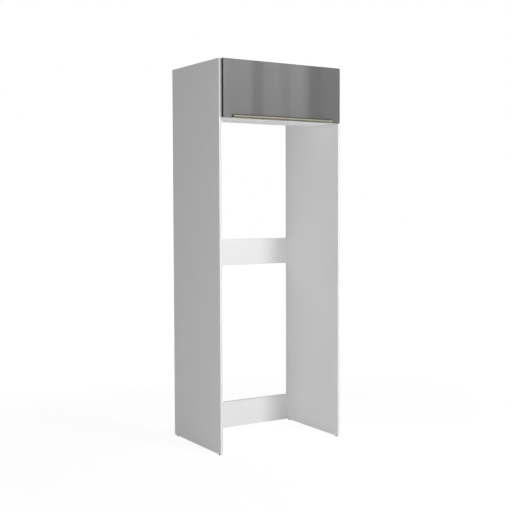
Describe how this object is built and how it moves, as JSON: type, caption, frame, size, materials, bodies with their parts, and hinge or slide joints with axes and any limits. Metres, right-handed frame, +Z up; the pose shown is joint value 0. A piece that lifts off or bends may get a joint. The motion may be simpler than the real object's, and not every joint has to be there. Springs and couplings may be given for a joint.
{
  "type": "fridge housing unit",
  "caption": "Tall housing that stands round a free-standing fridge: side panels on glides, rear rails and a shallow upper cabinet with a lift-up flap on gas struts.",
  "frame": {"origin": "on the floor, at the centre of the width and of the whole depth from the pull's front to the panels' rear edges", "axes": "+X to the right of someone who faces the flap, +Y to the back, +Z up"},
  "size_m": [0.8, 0.6154, 2.18],
  "materials": {
    "melamine": "white melamine-faced chipboard, fine satin grain",
    "back_sheet": "white lacquered hardboard",
    "gloss_lacquer": "high-gloss grey front on board, near-black edge band",
    "champagne": "satin champagne anodised",
    "glide": "dark moulded",
    "nickel": "nickel plated",
    "zinc": "zinc plated",
    "strut_black": "satin black",
    "chrome": "ground and chromed",
    "beech": "plain turned beech",
    "silicone": "soft clear-white"
  },
  "bodies": {
    "cabinet": {"side_panel_left": "melamine", "side_panel_right": "melamine", "bottom_rail": "melamine", "middle_rail": "melamine", "box_top": "melamine", "box_bottom": "melamine", "box_side_left": "melamine", "box_side_right": "melamine", "box_back": "back_sheet", "foot_front_left": "glide", "foot_front_right": "glide", "foot_rear_left": "glide", "foot_rear_right": "glide", "bottom_rail_cam_left": "zinc", "bottom_rail_bolt_left": "zinc", "bottom_rail_dowel_left": "beech", "bottom_rail_cam_right": "zinc", "bottom_rail_bolt_right": "zinc", "bottom_rail_dowel_right": "beech", "middle_rail_cam_left": "zinc", "middle_rail_bolt_left": "zinc", "middle_rail_dowel_left": "beech", "middle_rail_cam_right": "zinc", "middle_rail_bolt_right": "zinc", "middle_rail_dowel_right": "beech", "door_bumper_left": "silicone", "door_bumper_right": "silicone", "box_screw_front_left": "zinc", "box_screw_front_right": "zinc", "box_screw_rear_left": "zinc", "box_screw_rear_right": "zinc", "hinge_plate_left": "nickel", "hinge_arm_left": "nickel", "hinge_arm_screw_left": "nickel", "plate_screw_outer_left": "zinc", "plate_screw_inner_left": "zinc", "hinge_plate_right": "nickel", "hinge_arm_right": "nickel", "hinge_arm_screw_right": "nickel", "plate_screw_outer_right": "zinc", "plate_screw_inner_right": "zinc", "strut_side_bracket_left": "zinc", "strut_side_bracket_right": "zinc"},
    "flap": {"flap_door": "gloss_lacquer", "handle_profile": "champagne", "handle_screw_left": "zinc", "handle_screw_middle": "zinc", "handle_screw_right": "zinc", "hinge_cup_left": "nickel", "hinge_pin_left": "chrome", "strut_door_bracket_left": "zinc", "hinge_cup_right": "nickel", "hinge_pin_right": "chrome", "strut_door_bracket_right": "zinc"},
    "strut_tube_left": {"strut_cylinder_left": "strut_black"},
    "strut_rod_left": {"strut_rod_left": "chrome"},
    "strut_tube_right": {"strut_cylinder_right": "strut_black"},
    "strut_rod_right": {"strut_rod_right": "chrome"}
  },
  "joints": [
    {"name": "flap_hinge", "type": "hinge", "parent": "cabinet", "child": "flap", "pos_m": [0, -0.28915, 2.1718], "axis": [-1, 0, 0], "range_deg": [0, 90]},
    {"name": "strut_tube_pivot_left", "type": "hinge", "parent": "cabinet", "child": "strut_tube_left", "pos_m": [-0.3575, -0.23125, 1.9458], "axis": [1, 0, 0], "range_deg": [0, 16.8]},
    {"name": "strut_rod_slide_left", "type": "slide", "parent": "strut_tube_left", "child": "strut_rod_left", "axis": [0, -0.183, 0.9831], "range_m": [0, 0.0438]},
    {"name": "strut_tube_pivot_right", "type": "hinge", "parent": "cabinet", "child": "strut_tube_right", "pos_m": [0.3575, -0.23125, 1.9458], "axis": [1, 0, 0], "range_deg": [0, 16.8]},
    {"name": "strut_rod_slide_right", "type": "slide", "parent": "strut_tube_right", "child": "strut_rod_right", "axis": [0, -0.183, 0.9831], "range_m": [0, 0.0438]}
  ],
  "couplings": [
    {"joint": "strut_tube_pivot_left", "follows": "flap_hinge", "ratio": 0.18581},
    {"joint": "strut_rod_slide_left", "follows": "flap_hinge", "m_per_rad": 0.027825},
    {"joint": "strut_tube_pivot_right", "follows": "flap_hinge", "ratio": 0.18581},
    {"joint": "strut_rod_slide_right", "follows": "flap_hinge", "m_per_rad": 0.027825}
  ]
}
